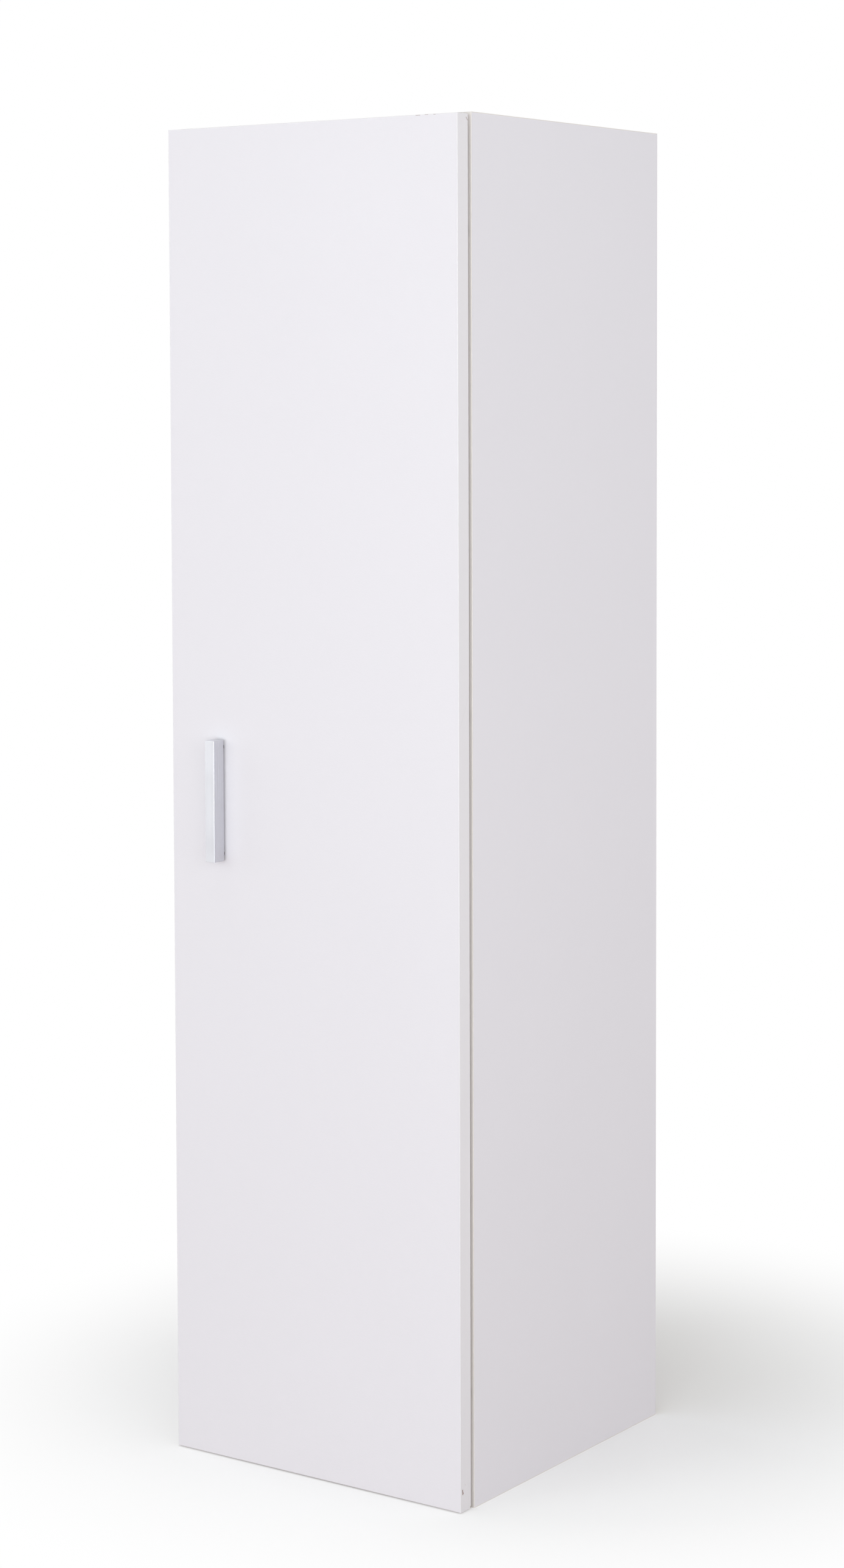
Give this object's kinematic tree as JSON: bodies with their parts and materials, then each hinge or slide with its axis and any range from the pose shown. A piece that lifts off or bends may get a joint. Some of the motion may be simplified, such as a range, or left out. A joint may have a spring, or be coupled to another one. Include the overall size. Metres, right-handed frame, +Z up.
{
  "type": "wall-mounted bathroom cabinet",
  "caption": "Tall narrow white wall cabinet with a full-overlay door on concealed cup hinges, shelves inside and a short metal bar handle.",
  "frame": {"origin": "on the wall plane, midway between the two upper wall screw holes in the upper hanging rail", "axes": "+Z up, +Y into the wall, so the door faces -Y; +X towards the hinge side, the right as seen from the front"},
  "size_m": [0.315, 0.3402, 1.2],
  "materials": {
    "white_melamine": "satin white melamine-faced board",
    "white_edge_band": "satin white edge band",
    "white_hardboard": "white lacquered hardboard",
    "beech": "raw fluted beech",
    "zinc_casting": "tumbled zinc casting",
    "bright_steel": "bright zinc-plated steel",
    "nickel_steel": "nickel-plated pressed steel",
    "spring_steel": "blank spring steel",
    "satin_aluminium": "satin anodised, fine lengthwise grain",
    "dark_spacer": "dark moulded plastic",
    "clear_bumper": "soft translucent pad"
  },
  "bodies": {
    "carcass": {"left_side_panel": "white_melamine", "right_side_panel": "white_melamine", "top_panel": "white_melamine", "bottom_panel": "white_melamine", "fixed_shelf": "white_melamine", "upper_shelf": "white_melamine", "lower_shelf": "white_melamine", "upper_hanging_rail": "white_melamine", "lower_hanging_rail": "white_melamine", "left_side_edge_bands": "white_edge_band", "right_side_edge_bands": "white_edge_band", "top_panel_edge_band": "white_edge_band", "bottom_panel_edge_band": "white_edge_band", "fixed_shelf_edge_band": "white_edge_band", "upper_shelf_edge_band": "white_edge_band", "lower_shelf_edge_band": "white_edge_band", "back_panel": "white_hardboard", "cam_locks": "zinc_casting", "cam_bolts": "bright_steel", "wood_dowels": "beech", "upper_shelf_pins": "bright_steel", "lower_shelf_pins": "bright_steel", "upper_hinge_plate": "nickel_steel", "upper_hinge_arm": "nickel_steel", "middle_hinge_plate": "nickel_steel", "middle_hinge_arm": "nickel_steel", "lower_hinge_plate": "nickel_steel", "lower_hinge_arm": "nickel_steel", "hinge_plate_screws": "bright_steel", "hinge_arm_screws": "bright_steel", "hinge_adjusting_screws": "bright_steel"},
    "door": {"door_panel": "white_melamine", "door_edge_bands": "white_edge_band", "door_bumpers": "clear_bumper", "handle_bar": "satin_aluminium", "handle_spacers": "dark_spacer", "handle_screws": "bright_steel", "hinge_cup_screws": "bright_steel", "hinge_pins": "bright_steel", "closing_springs": "spring_steel", "upper_hinge_cup": "nickel_steel", "middle_hinge_cup": "nickel_steel", "lower_hinge_cup": "nickel_steel"}
  },
  "joints": [
    {"name": "door_swing", "type": "hinge", "parent": "carcass", "child": "door", "pos_m": [0.1491, -0.3168, -0.544], "axis": [0, 0, 1], "range_deg": [0, 95]}
  ]
}
